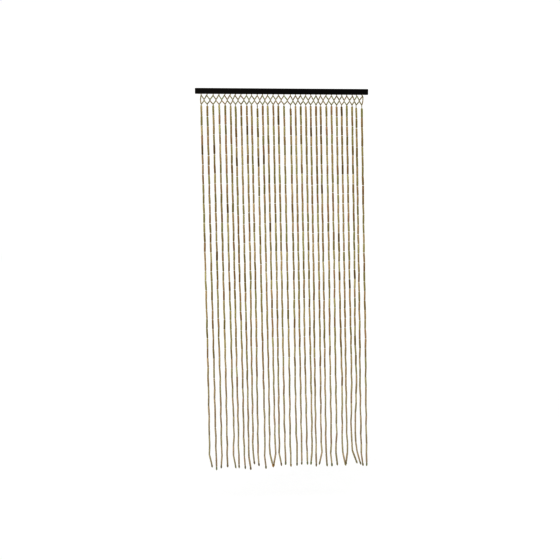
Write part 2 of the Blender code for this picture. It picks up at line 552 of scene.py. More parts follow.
@dataclass(frozen=True)
class CottonString:
    """Twisted cotton string."""

    colour: Colour = (0.480, 0.405, 0.235)
    # the colour of soiled patches, and the painted shade in the hollows of the twist
    hollow: Colour = (0.250, 0.200, 0.110)
    strand_pitch: float = 0.0022
    ridge_colour: float = 0.7
    ridge_height: float = 0.8
    fluff_per_metre: float = 2500.0
    soil_per_metre: float = 30.0
    soil_edge: Range = (0.35, 0.75)
    soil: float = 0.35
    roughness: float = 0.86
    fluff_roughness: float = 0.10
    relief: float = 0.00025

    def material(self) -> bpy.types.Material:
        """The string, with its twist as slanting ridges, and painted shade in the hollows between them."""
        tree = ShaderTree("Cotton string")
        turned = tree.attribute("round", "Vector")
        travel = tree.attribute("along") * (math.tau / self.strand_pitch)
        quarter = travel + math.pi / 2
        wave = travel.sine() * tree.part(turned, 0) + quarter.sine() * tree.part(turned, 1)
        ridge = wave * 0.5 + 0.5
        fluff = tree.noise(tree.place(), self.fluff_per_metre)
        soiled = tree.noise(tree.place(), self.soil_per_metre).step(*self.soil_edge) * self.soil
        pale = tree.mix(soiled, (*self.colour, 1.0), (*self.hollow, 1.0))
        # painted shade: the twist's hollows take the darker colour, its ridges the paler one
        raised = ridge * self.ridge_colour + fluff * (1.0 - self.ridge_colour)
        colour = tree.mix(raised, (*self.hollow, 1.0), pale)
        height = ridge * self.ridge_height + fluff * (1.0 - self.ridge_height)
        return tree.principled(colour, self.roughness + self.fluff_roughness * fluff, height, self.relief)


@dataclass(frozen=True)
class StagePaint:
    """The plain pale floor, an opal panel lit from below too, so that it takes hardly any shadow."""

    colour: Colour = (0.14, 0.14, 0.14)
    paler: Colour = (0.15, 0.15, 0.15)
    clouds_per_metre: float = 2.0
    roughness: float = 0.9
    glow: float = 0.828

    def material(self) -> bpy.types.Material:
        """The panel's matt white."""
        tree = ShaderTree("Pale floor")
        cloud = tree.noise(tree.place(), self.clouds_per_metre)
        colour = tree.mix(cloud, (*self.colour, 1.0), (*self.paler, 1.0))
        return tree.principled(colour, self.roughness, Specular_IOR_Level=0.0, Emission_Color=WHITE,
                               Emission_Strength=self.glow)


SKIN_SHADES = (
    (0.00, (0.146, 0.105, 0.036)),
    (0.15, (0.225, 0.161, 0.055)),
    (0.35, (0.279, 0.211, 0.093)),
    (0.50, (0.331, 0.264, 0.131)),
    (0.70, (0.378, 0.308, 0.163)),
    (0.85, (0.420, 0.353, 0.194)),
    (1.00, (0.470, 0.408, 0.234)),
)
NET_SHADES = (
    (0.00, (0.237, 0.200, 0.106)),
    (0.35, (0.303, 0.254, 0.148)),
    (0.70, (0.358, 0.306, 0.189)),
    (1.00, (0.299, 0.296, 0.158)),
)
NET_BEAD_SHADES = ((0.00, (0.315, 0.270, 0.180)), (1.00, (0.415, 0.365, 0.250)))
END_BEAD_SHADES = (
    (0.00, (0.200, 0.170, 0.105)),
    (0.45, (0.255, 0.230, 0.145)),
    (0.75, (0.230, 0.240, 0.120)),
    (1.00, (0.370, 0.255, 0.120)),
)
TUBE_SKIN = CaneSkin("Bamboo skin", SKIN_SHADES, cut=(0.52, 0.42, 0.26), paling=0.46)
END_BEAD_SKIN = CaneSkin("Dark beads", END_BEAD_SHADES, cut=(0.16, 0.12, 0.07))
NET_SKIN = CaneSkin("Net cane", NET_SHADES, cut=(0.42, 0.36, 0.24))
NET_BEAD_SKIN = CaneSkin("Net beads", NET_BEAD_SHADES, cut=(0.20, 0.16, 0.10))

# Small shapes that repeat


class Ring(NamedTuple):
    """One ring of a turned shape of unit radius and length."""

    height: float
    radius: float
    cut: float
    sharp: bool = False


@dataclass(frozen=True)
class TurnedShape:
    """A closed hollow shape, turned about Z, that geometry nodes stretch and repeat."""

    name: str
    sides: int
    rings: tuple[Ring, ...]

    def build(self) -> bpy.types.Object:
        """The shape as an object outside the scene, with its skin's coordinates and cut faces marked."""
        work = bmesh.new()
        cut_layer = work.faces.layers.float.new("cut")
        skin_layer = work.verts.layers.float_vector.new("skin")
        loops = [self._ring(work, ring) for ring in self.rings]
        for vert in work.verts:
            vert[skin_layer] = vert.co
        for index, (ring, loop) in enumerate(zip(self.rings, loops)):
            after = (index + 1) % len(loops)
            for side in range(self.sides):
                beside = (side + 1) % self.sides
                corners = (loop[side], loop[beside], loops[after][beside], loops[after][side])
                face = work.faces.new(corners)
                face.smooth = True
                face[cut_layer] = ring.cut
        for ring, loop in zip(self.rings, loops):
            if ring.sharp:
                for side in range(self.sides):
                    work.edges.get((loop[side], loop[(side + 1) % self.sides])).smooth = False
        bmesh.ops.recalc_face_normals(work, faces=work.faces)
        mesh = bpy.data.meshes.new(self.name)
        work.to_mesh(mesh)
        work.free()
        return bpy.data.objects.new(self.name, mesh)

    def _ring(self, work: bmesh.types.BMesh, ring: Ring) -> list[bmesh.types.BMVert]:
        """Adds one ring's corners.

        Args:
            work: The mesh.
            ring: The ring.

        Returns:
            The corners, in turn.
        """
        corners = []
        for side in range(self.sides):
            angle = math.tau * side / self.sides
            place = (ring.radius * math.cos(angle), ring.radius * math.sin(angle), ring.height)
            corners.append(work.verts.new(place))
        return corners


TUBE = TurnedShape("Tube", 9, (
    Ring(-0.490, 1.00, 0.0),
    Ring(0.000, 1.03, 0.0),
    Ring(0.490, 1.00, 0.0),
    Ring(0.500, 0.90, 1.0, sharp=True),
    Ring(0.500, 0.50, 1.0, sharp=True),
    Ring(-0.500, 0.50, 1.0, sharp=True),
    Ring(-0.500, 0.90, 0.0, sharp=True),
))
NODED_TUBE = TurnedShape("Noded tube", 9, (
    Ring(-0.490, 1.00, 0.0),
    Ring(0.120, 1.00, 0.0),
    Ring(0.155, 1.16, 0.0),
    Ring(0.190, 1.02, 0.0),
    Ring(0.490, 0.97, 0.0),
    Ring(0.500, 0.88, 1.0, sharp=True),
    Ring(0.500, 0.50, 1.0, sharp=True),
    Ring(-0.500, 0.50, 1.0, sharp=True),
    Ring(-0.500, 0.90, 0.0, sharp=True),
))
BEAD = TurnedShape("Bead", 12, (
    Ring(-0.40, 0.86, 0.0),
    Ring(-0.15, 1.00, 0.0),
    Ring(0.15, 1.00, 0.0),
    Ring(0.40, 0.86, 0.0),
    Ring(0.50, 0.62, 0.0),
    Ring(0.50, 0.36, 0.3, sharp=True),
    Ring(-0.50, 0.36, 0.0, sharp=True),
    Ring(-0.50, 0.62, 0.0),
))


# Placing and repeating


class Piece(NamedTuple):
    """Where one tube or bead goes."""

    start: Vector
    end: Vector
    radius: float
    tone: float
    hue: float = 0.0


class Variation(NamedTuple):
    """How far a kind of piece strays from its true shape: its girth by a share, its skin in metres."""

    girth: float
    skin: float
    seed: int


class Threading:
    """Geometry nodes that put a turned shape on each of many pieces' places."""

    ovalness = 0.4
    waves_per_metre = 70.0
    wave_detail = 1.0

    def __init__(self) -> None:
        """Builds the node group."""
        tree = GeometryTree("Threading")
        shape = tree.named_input("Shape", "Object")
        spread = tree.named_input("Girth spread", "Float")
        lump = tree.named_input("Unevenness", "Float")
        seed = tree.named_input("Seed", "Float")
        finish = tree.named_input("Finish", "Material")
        run = tree.stored("run", "FLOAT_VECTOR")
        length = tree.add("ShaderNodeVectorMath", {"operation": "LENGTH"}, {0: run}, output="Value")
        aligned = tree.add("FunctionNodeAlignRotationToVector", {"axis": "Z"}, {"Vector": run})
        turn = tree.add("ShaderNodeCombineXYZ", {}, {2: tree.random(0.0, math.tau, seed, 1)})
        in_place = {"rotation_space": "LOCAL"}
        rotation = tree.add("FunctionNodeRotateRotation", in_place, {0: aligned, 1: turn})
        girth = tree.stored("radius", "FLOAT") * (1.0 + spread * tree.random(-1.0, 1.0, seed, 2))
        oval = 1.0 + spread * self.ovalness * tree.random(-1.0, 1.0, seed, 3)
        scale = tree.add("ShaderNodeCombineXYZ", {}, {0: girth * oval, 1: girth, 2: length})
        model = tree.add("GeometryNodeObjectInfo", {}, {"Object": shape}, output="Geometry")
        placed = tree.add("GeometryNodeInstanceOnPoints", {}, {
            "Points": tree.geometry(), "Instance": model, "Rotation": rotation, "Scale": scale,
        })
        speck = tree.random(0.0, 1.0, seed, 4)
        marked = tree.store(placed, "speck", speck, "FLOAT", "INSTANCE")
        real = tree.add("GeometryNodeRealizeInstances", {}, {"Geometry": marked})
        position = tree.add("GeometryNodeInputPosition")
        waving = {"Vector": position, "Scale": self.waves_per_metre, "Detail": self.wave_detail}
        waves = tree.add("ShaderNodeTexNoise", {}, waving)
        normal = tree.add("GeometryNodeInputNormal")
        amount = (waves - 0.5) * lump
        offset = tree.add("ShaderNodeVectorMath", {"operation": "SCALE"}, {0: normal, "Scale": amount})
        uneven = tree.add("GeometryNodeSetPosition", {}, {"Geometry": real, "Offset": offset})
        tree.end(uneven, finish)
        self.group = tree.tree

    def make(self, name: str, shape: TurnedShape, pieces: Sequence[Piece], finish: bpy.types.Material,
             variation: Variation) -> bpy.types.Object:
        """Threads one kind of piece.

        Args:
            name: The new object's name.
            shape: What is repeated.
            pieces: Where each one goes.
            finish: Their material.
            variation: How far they stray from their true shape.

        Returns:
            One plain mesh object of all of them.
        """
        mesh = bpy.data.meshes.new(name)
        mesh.from_pydata([(piece.start + piece.end) / 2 for piece in pieces], [], [])
        runs = [value for piece in pieces for value in piece.end - piece.start]
        mesh.attributes.new("run", "FLOAT_VECTOR", "POINT").data.foreach_set("vector", runs)
        for measure in ("radius", "tone", "hue"):
            values = [getattr(piece, measure) for piece in pieces]
            mesh.attributes.new(measure, "FLOAT", "POINT").data.foreach_set("value", values)
        inputs = {"Shape": shape.build(), "Finish": finish, "Girth spread": variation.girth,
                  "Unevenness": variation.skin, "Seed": float(variation.seed)}
        return evaluated(name, mesh, self.group, inputs)


class Stringing:
    """Geometry nodes that turn lines into round string."""

    sides = 6
    ridges = 2

    def __init__(self) -> None:
        """Builds the node group."""
        tree = GeometryTree("Stringing")
        radius = tree.named_input("Radius", "Float")
        finish = tree.named_input("Finish", "Material")
        line = tree.add("GeometryNodeMeshToCurve", {}, {"Mesh": tree.geometry()})
        travel = tree.add("GeometryNodeSplineParameter", output="Length")
        marked = tree.store(line, "along", travel, "FLOAT")
        circle = tree.add("GeometryNodeCurvePrimitiveCircle", {"mode": "RADIUS"}, {
            "Resolution": self.sides, "Radius": radius,
        })
        turn = tree.add("GeometryNodeSplineParameter", output="Factor") * (self.ridges * math.tau)
        turned = tree.add("ShaderNodeCombineXYZ", {}, {0: (turn + math.pi / 2).sine(), 1: turn.sine()})
        profile = tree.store(circle, "round", turned, "FLOAT_VECTOR")
        round_string = tree.add("GeometryNodeCurveToMesh", {}, {
            "Curve": marked, "Profile Curve": profile, "Fill Caps": True,
        })
        tree.end(round_string, finish)
        self.group = tree.tree

    def make(self, name: str, lines: Iterable[Sequence[Vector]], radius: float,
             finish: bpy.types.Material) -> bpy.types.Object:
        """Makes strings.

        Args:
            name: The new object's name.
            lines: Each string's points, in order.
            radius: Their radius.
            finish: Their material.

        Returns:
            One plain mesh object of all of them.
        """
        points: list[Vector] = []
        edges: list[tuple[int, int]] = []
        for line in lines:
            first = len(points)
            points += line
            edges += [(first + step, first + step + 1) for step in range(len(line) - 1)]
        mesh = bpy.data.meshes.new(name)
        mesh.from_pydata(points, edges, [])
        return evaluated(name, mesh, self.group, {"Radius": radius, "Finish": finish})


def evaluated(name: str, mesh: bpy.types.Mesh, group: bpy.types.NodeTree,
              inputs: dict[str, Any]) -> bpy.types.Object:
    """Runs a geometry node group once and keeps the plain mesh that it gives.

    Args:
        name: The object's name.
        mesh: The mesh that goes in.
        group: The node group.
        inputs: Its inputs, by name.

    Returns:
        The object with its new mesh and no modifier.
    """
    thing = bpy.data.objects.new(name, mesh)
    bpy.context.scene.collection.objects.link(thing)
    modifier = thing.modifiers.new(group.name, "NODES")
    modifier.node_group = group
    for item in group.interface.items_tree:
        if item.item_type == "SOCKET" and item.in_out == "INPUT" and item.name in inputs:
            modifier[item.identifier] = inputs[item.name]
    depsgraph = bpy.context.evaluated_depsgraph_get()
    result = bpy.data.meshes.new_from_object(thing.evaluated_get(depsgraph), depsgraph=depsgraph)
    thing.modifiers.clear()
    thing.data = result
    result.name = name
    return thing


# The curtain


class Strand(NamedTuple):
    """One strand, all in millimetres.

    In order: its root from the rail's middle, its length from root to end, the string that shows above its
    first tube, the drop of that tube's end, the length of a tube with its share of string, its sideways
    offsets from a straight hang at each height and at its end, and how far its foot hangs forwards.
    """

    root: int
    length: int
    lead: int
    first: int
    tube: float
    bends: tuple[int, ...]
    fore: int


STRANDS = (
    Strand(-419, 1915, 9, 62, 50.5, (1, 0, -1, -3, 9), 0),
    Strand(-388, 1930, 12, 65, 50.5, (1, 1, 1, 1, 1), 1),
    Strand(-357, 1920, 9, 58, 50.5, (-1, 1, 0, 0, -3), 2),
    Strand(-326, 1915, 6, 55, 51.0, (0, 0, -1, -2, -2), 0),
    Strand(-295, 1920, 8, 57, 51.0, (2, 2, 6, -1, 10), 2),
    Strand(-267, 1920, 9, 58, 50.5, (0, 0, 1, -1, 2), 1),
    Strand(-241, 1925, 13, 72, 50.5, (3, 4, 3, 3, 8), 0),
    Strand(-212, 1930, 9, 63, 51.0, (0, 0, -1, -2, 6), 1),
    Strand(-183, 1900, 10, 59, 50.5, (-4, -5, -6, -9, 0), 2),
    Strand(-158, 1910, 8, 60, 50.5, (-1, -4, -5, -7, -1), 0),
    Strand(-128, 1925, 23, 70, 51.0, (0, 1, 2, -1, 3), 1),
    Strand(-100, 1915, 9, 59, 51.0, (0, 1, -1, -2, 15), 7),
    Strand(-74, 1915, 10, 58, 50.5, (1, 1, 1, 3, -8), -2),
    Strand(-45, 1910, 6, 61, 50.5, (-2, -3, -5, -6, 4), 0),
    Strand(-19, 1905, 9, 58, 50.5, (-1, -1, -2, 0, -1), 2),
    Strand(11, 1915, 10, 63, 50.5, (0, 0, -3, -3, 0), 0),
    Strand(45, 1910, 23, 60, 50.5, (-2, -4, -4, -1, -3), 1),
    Strand(71, 1905, 10, 61, 50.5, (-2, -2, -3, -2, -6), 1),
    Strand(98, 1905, 11, 56, 50.5, (-3, -2, -1, -2, 1), 0),
    Strand(125, 1905, 11, 64, 50.0, (-1, 0, 0, -2, -8), 2),
    Strand(150, 1915, 9, 66, 50.5, (-3, -4, -5, -4, -7), 1),
    Strand(178, 1905, 10, 62, 50.5, (-1, -2, -5, -2, -18), 1),
    Strand(202, 1915, 10, 56, 51.0, (-1, -2, -3, -4, 3), 0),
    Strand(232, 1915, 10, 64, 50.0, (-3, -4, -4, -8, -4), 2),
    Strand(259, 1910, 9, 54, 50.5, (-2, -2, -2, -8, -2), 1),
    Strand(286, 1910, 11, 63, 50.5, (1, 5, 0, 0, 18), 8),
    Strand(312, 1910, 11, 60, 50.5, (0, -1, -1, 2, -10), -2),
    Strand(339, 1900, 6, 63, 50.0, (2, 3, -5, 2, 24), 1),
    Strand(367, 1905, 11, 62, 50.0, (-4, 1, -12, -4, 18), 7),
    Strand(389, 1915, 17, 71, 50.5, (0, -3, -2, -2, 8), -2),
    Strand(418, 1915, 20, 67, 50.5, (1, -1, -3, -2, -5), 0),
)

# How far each upper knot of the net stands to the right of its lower one, in millimetres, from the left
NET_LEANS = (0, -3, 0, -2, -4, -4, -3, -3, -1, 0, 0, -2, -1, -1, 2, 0,
             0, 0, -1, -2, 2, 0, -1, -3, 0, 0, 2, 0, 3, 4, 5)


class Height(Enum):
    """Where a strand bends, as drops below its root in metres. It hangs straight down to the first."""

    WAIST = 0.90
    HIP = 1.20
    KNEE = 1.45
    SHIN = 1.72
    ANKLE = 1.84


class Shade(Enum):
    """Shades that stand out from the run of the tubes, each as its tone and its hue."""

    DARK = (0.05, 0.2)
    RUSSET = (0.52, 1.3)
    OLIVE = (0.50, -1.3)


# The tubes in those shades, each as its strand from the left and its place from the top, both from 1
MARKED_TUBES = {
    Shade.DARK: (
        (1, 5), (3, 5), (3, 16), (5, 11), (7, 6), (9, 3), (11, 6), (12, 6), (13, 13), (15, 2),
        (21, 3), (23, 3), (23, 9), (26, 14), (27, 1), (27, 7), (28, 19), (29, 18),
    ),
    Shade.RUSSET: (
        (1, 4), (5, 2), (5, 4), (5, 5), (5, 7), (10, 36), (13, 23), (18, 13), (22, 19), (24, 3),
        (24, 11), (25, 18), (25, 20), (28, 12), (31, 24),
    ),
    Shade.OLIVE: (
        (1, 12), (1, 36), (3, 30), (4, 13), (7, 24), (10, 20), (12, 33), (16, 13), (16, 14),
        (16, 35), (17, 34), (29, 14), (29, 28), (31, 1), (31, 27),
    ),
}


@dataclass(frozen=True)
class StrandPath:
    """The line that one strand's string follows, as its CAD solid does."""

    row: int
    strand: Strand
    root_z: float
    plane_y: float
    tube_count: int = 37
    first_string: float = 0.012
    tail: float = 0.020
    even_from: int = 24
    drift: float = 0.0207
    wobble_top: float = 0.0004
    wobble_foot: float = 0.0016
    sway: float = 0.0018
    wobble_turns: tuple[float, float] = (2.4, 1.9)
    sway_turns: tuple[float, float] = (0.7, 2.1)
    foot_share: float = 0.2

    @property
    def length(self) -> float:
        """The strand's length from root to end."""
        return self.strand.length * MILLIMETRE

    @property
    def pitch(self) -> float:
        """The mean distance from one joint to the next."""
        return (self.length - self.first_string - self.tail) / self.tube_count

    def offset(self, drop: float) -> float:
        """The sideways offset from a straight hang.

        Args:
            drop: How far below the root.

        Returns:
            The offset in metres.
        """
        drops = [0.0] + [height.value for height in Height] + [self.length]
        offsets = (0, 0, *self.strand.bends)
        for low, high, before, after in zip(drops, drops[1:], offsets, offsets[1:]):
            if drop <= high:
                return MILLIMETRE * (before + (after - before) * (drop - low) / (high - low))
        return MILLIMETRE * offsets[-1]

    def point(self, drop: float) -> Vector:
        """The point on the line at a drop below the root."""
        share = drop / self.length
        joint = min(self.tube_count, max(0.0, (drop - self.first_string) / self.pitch))
        down_foot = max(0.0, share - (1.0 - self.foot_share)) / self.foot_share
        per_joint, per_row = self.wobble_turns
        wobble = self.wobble_top + (self.wobble_foot - self.wobble_top) * share
        wobble *= math.sin(per_joint * joint + per_row * self.row)
        sideways = self.offset(drop) + self.drift * drop + wobble
        forwards = self.strand.fore * MILLIMETRE * down_foot
        per_joint, per_row = self.sway_turns
        swing = self.sway * share * math.sin(per_joint * joint + per_row * self.row) * (1.0 - down_foot)
        return Vector((
            self.strand.root * MILLIMETRE + sideways,
            self.plane_y + swing - forwards,
            self.root_z - drop,
        ))

    def joint(self, number: int) -> Vector:
        """Where one tube ends and the next begins. Joint 0 is the top of the first tube."""
        even_drop = self.strand.first + (self.even_from - 1) * self.strand.tube
        if number == 0:
            return self.point(self.strand.lead * MILLIMETRE)
        if number <= self.even_from:
            return self.point((self.strand.first + (number - 1) * self.strand.tube) * MILLIMETRE)
        share = (number - self.even_from) / (self.tube_count - self.even_from)
        last_drop = self.length - self.tail
        return self.point(even_drop * MILLIMETRE + (last_drop - even_drop * MILLIMETRE) * share)


TWIST_LENGTH = 0.006
STEPS_PER_TWIST = 8
FEWEST_STEPS = 3


def overhand_knot(centre: Vector, size: float, string_radius: float, turn: float) -> list[Vector]:
    """A string's path through a tight overhand knot.

    Args:
        centre: The knot's middle.
        size: Its radius, over the string.
        string_radius: The string's radius.
        turn: How far the knot is turned, in radians.

    Returns:
        The path's points.
    """
    steps = 27
    depth = 1.2
    reach = (size - string_radius) / 3.0
    tilt = Euler((0.0, turn, 2.0 * turn))
    points = []
    for step in range(steps + 1):
        angle = math.tau * step / steps
        across = math.sin(angle) + 2.0 * math.sin(2.0 * angle)
        upwards = math.cos(angle) - 2.0 * math.cos(2.0 * angle)
        point = Vector((across, -depth * math.sin(3.0 * angle), upwards))
        point.rotate(tilt)
        points.append(centre + reach * point)
    return points


def twisted_pair(start: Vector, end: Vector, spread: float, turn: float) -> list[list[Vector]]:
    """Two strings that are laid round each other.

    Args:
        start: Where the pair starts.
        end: Where it ends.
        spread: How far each string runs from the pair's middle.
        turn: The angle that the first string starts at, in radians.

    Returns:
        The points of each string's path.
    """
    along = end - start
    side = along.orthogonal().normalized()
    front = along.cross(side).normalized()
    twists = along.length / TWIST_LENGTH
    steps = max(FEWEST_STEPS, math.ceil(STEPS_PER_TWIST * twists))
    lines = []
    for first_angle in (turn, turn + math.pi):
        line = []
        for step in range(steps + 1):
            share = step / steps
            angle = first_angle + math.tau * share * twists
            outwards = math.cos(angle) * side + math.sin(angle) * front
            line.append(start + along * share + spread * outwards)
        lines.append(line)
    return lines


@dataclass
class Strands:
    """The 31 strands: string, bamboo tubes and end beads."""

    paths: list[StrandPath]
    threading: Threading
    stringing: Stringing
    radius_top: float = 0.0046
    radius_foot: float = 0.0040
    gap_top: float = 0.0024
    gap_foot: float = 0.0015
    gap_spread: float = 0.0009
    gap_side: Range = (0.3, 0.7)
    noded_share: float = 0.12
    middle_tone: float = 0.57
    tone_spread: float = 0.21
    darkest_tone: float = 0.20
    hue_fading: float = 0.8
    fading_tone: float = 0.5
    string_radius: float = 0.0008
    pair_spread: float = 0.0012
    tucked: float = 0.003
    bead_length: float = 0.0155
    bead_radius: float = 0.0042
    palest_bead: float = 0.85
    orange_bead: float = 1.0
    orange_rows: tuple[int, ...] = (12, 13)
    lead_bead_row: int = 11
    lead_bead_drop: float = 0.012
    lead_bead_shares: Range = (2 / 3, 0.6)
    lead_bead_tone: float = 0.0
    knot_radius: float = 0.0018
    plain_variation: Variation = Variation(0.08, 0.0006, 3)
    noded_variation: Variation = Variation(0.08, 0.0006, 4)
    bead_variation: Variation = Variation(0.08, 0.0005, 5)
    seed: int = 11

    def tubes(self) -> tuple[list[Piece], list[Piece]]:
        """Each tube's place: the plain tubes, and those with a node of the bamboo's stem."""
        chance = random.Random(self.seed)
        marks = {tube: shade for shade, tubes in MARKED_TUBES.items() for tube in tubes}
        plain: list[Piece] = []
        noded: list[Piece] = []
        for path in self.paths:
            for number in range(path.tube_count):
                top, foot = path.joint(number), path.joint(number + 1)
                along = (foot - top).normalized()
                share = number / (path.tube_count - 1)
                above = 0.0 if number == 0 else self._gap(share, chance)
                below = self._gap(share, chance)
                radius = self.radius_top + (self.radius_foot - self.radius_top) * share
                tone, hue = self._shade(chance)
                mark = marks.get((path.row + 1, number + 1))
                if mark:
                    tone, hue = mark.value
                kind = noded if chance.random() < self.noded_share else plain
                kind.append(Piece(foot - along * below, top + along * above, radius, tone, hue))
        return plain, noded

    def _gap(self, share: float, chance: random.Random) -> float:
        """One tube's side of the string that shows at a joint, which is less towards the foot."""
        side = chance.uniform(*self.gap_side)
        middle = self.gap_top + (self.gap_foot - self.gap_top) * share
        return side * (middle + chance.uniform(-1.0, 1.0) * self.gap_spread)

    def _shade(self, chance: random.Random) -> tuple[float, float]:
        """A tube's tone and hue. The paler a tube, the less its hue strays."""
        tone = min(1.0, max(self.darkest_tone, chance.gauss(self.middle_tone, self.tone_spread)))
        return tone, chance.uniform(-1.0, 1.0) * (1.0 + self.hue_fading * (self.fading_tone - tone))

    def beads(self) -> list[Piece]:
        """Each strand's end bead, and the small one above a first tube."""
        chance = random.Random(self.seed + 1)
        pieces = []
        for path in self.paths:
            foot_drop = path.length - 2 * self.knot_radius
            orange = path.row + 1 in self.orange_rows
            tone = self.orange_bead if orange else self.palest_bead * chance.random()
            top, foot = path.point(foot_drop - self.bead_length), path.point(foot_drop)
            pieces.append(Piece(foot, top, self.bead_radius, tone, chance.uniform(-1.0, 1.0)))
            if path.row + 1 == self.lead_bead_row:
                length_share, radius_share = self.lead_bead_shares
                half = length_share * self.bead_length / 2
                top = path.point(self.lead_bead_drop - half)
                foot = path.point(self.lead_bead_drop + half)
                pieces.append(Piece(foot, top, radius_share * self.bead_radius, self.lead_bead_tone))
        return pieces

    def strings(self) -> list[list[Vector]]:
        """A twisted pair above each first tube, one string through the tubes, and an end knot."""
        chance = random.Random(self.seed + 2)
        lines = []
        for path in self.paths:
            turn = chance.uniform(0.0, math.pi)
            mouth = path.point(path.strand.lead * MILLIMETRE + self.tucked)
            lines += twisted_pair(path.point(0.0), mouth, self.pair_spread, turn)
            knot = path.point(path.length - self.knot_radius)
            lines.append([path.joint(number) for number in range(path.tube_count + 1)] + [knot])
            lines.append(overhand_knot(knot, self.knot_radius, self.string_radius, turn))
        return lines

    def build(self, skin: bpy.types.Material, bead: bpy.types.Material,
              string: bpy.types.Material) -> list[bpy.types.Object]:
        """Builds the strands' pieces.

        Args:
            skin: The tubes' finish.
            bead: The end beads' finish.
            string: The string's finish.

        Returns:
            The plain tubes, the noded tubes, the end beads and the strings.
        """
        plain, noded = self.tubes()
        return [
            self.threading.make("bamboo_tubes", TUBE, plain, skin, self.plain_variation),
            self.threading.make("noded_tubes", NODED_TUBE, noded, skin, self.noded_variation),
            self.threading.make("end_beads", BEAD, self.beads(), bead, self.bead_variation),
            self.stringing.make("strand_strings", self.strings(), self.string_radius, string),
        ]


